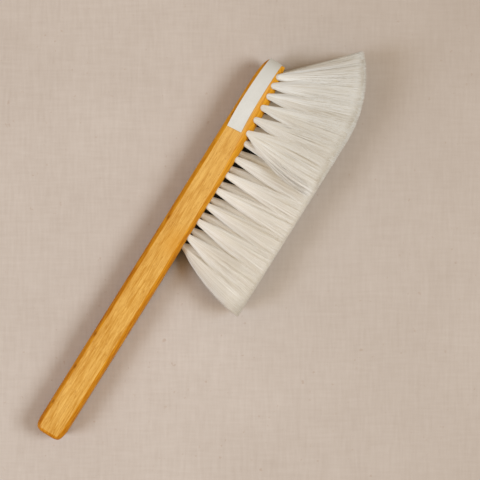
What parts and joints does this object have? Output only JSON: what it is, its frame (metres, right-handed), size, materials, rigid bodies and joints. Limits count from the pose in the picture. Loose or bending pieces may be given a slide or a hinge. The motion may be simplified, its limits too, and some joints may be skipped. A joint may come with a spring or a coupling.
{
  "type": "bee brush",
  "caption": "Long wooden hand brush for moving bees off a comb: rectangular grip, slim head with a rounded nose, and staggered rows of long soft hair tufts.",
  "frame": {"origin": "middle of the grip's lower side face, where the flat sides of the wood meet the mid-height of the board", "axes": "+X along the wood to the nose, +Y to the back of the wood (the hair points to -Y), +Z through the thickness; the brush lies on its side"},
  "size_m": [0.3829, 0.0885, 0.039],
  "materials": {
    "beech": "clear lacquered beech, satin, grain along the board",
    "hair": "bleached natural hair, pale cream",
    "anchor_steel": "plain flat staple wire",
    "label_paper": "plain matt white paper, blank"
  },
  "bodies": {
    "root": {"stock": "beech", "label": "label_paper", "tuft_upper_01": "hair", "tuft_upper_02": "hair", "tuft_upper_03": "hair", "tuft_upper_04": "hair", "tuft_upper_05": "hair", "tuft_upper_06": "hair", "tuft_upper_07": "hair", "tuft_upper_08": "hair", "tuft_upper_09": "hair", "tuft_upper_10": "hair", "tuft_upper_11": "hair", "tuft_upper_12": "hair", "tuft_upper_13": "hair", "tuft_lower_01": "hair", "tuft_lower_02": "hair", "tuft_lower_03": "hair", "tuft_lower_04": "hair", "tuft_lower_05": "hair", "tuft_lower_06": "hair", "tuft_lower_07": "hair", "tuft_lower_08": "hair", "tuft_lower_09": "hair", "tuft_lower_10": "hair", "tuft_lower_11": "hair", "tuft_lower_12": "hair", "tuft_lower_13": "hair", "tuft_lower_14": "hair", "anchor_upper_01": "anchor_steel", "anchor_upper_02": "anchor_steel", "anchor_upper_03": "anchor_steel", "anchor_upper_04": "anchor_steel", "anchor_upper_05": "anchor_steel", "anchor_upper_06": "anchor_steel", "anchor_upper_07": "anchor_steel", "anchor_upper_08": "anchor_steel", "anchor_upper_09": "anchor_steel", "anchor_upper_10": "anchor_steel", "anchor_upper_11": "anchor_steel", "anchor_upper_12": "anchor_steel", "anchor_upper_13": "anchor_steel", "anchor_lower_01": "anchor_steel", "anchor_lower_02": "anchor_steel", "anchor_lower_03": "anchor_steel", "anchor_lower_04": "anchor_steel", "anchor_lower_05": "anchor_steel", "anchor_lower_06": "anchor_steel", "anchor_lower_07": "anchor_steel", "anchor_lower_08": "anchor_steel", "anchor_lower_09": "anchor_steel", "anchor_lower_10": "anchor_steel", "anchor_lower_11": "anchor_steel", "anchor_lower_12": "anchor_steel", "anchor_lower_13": "anchor_steel", "anchor_lower_14": "anchor_steel"}
  },
  "joints": []
}
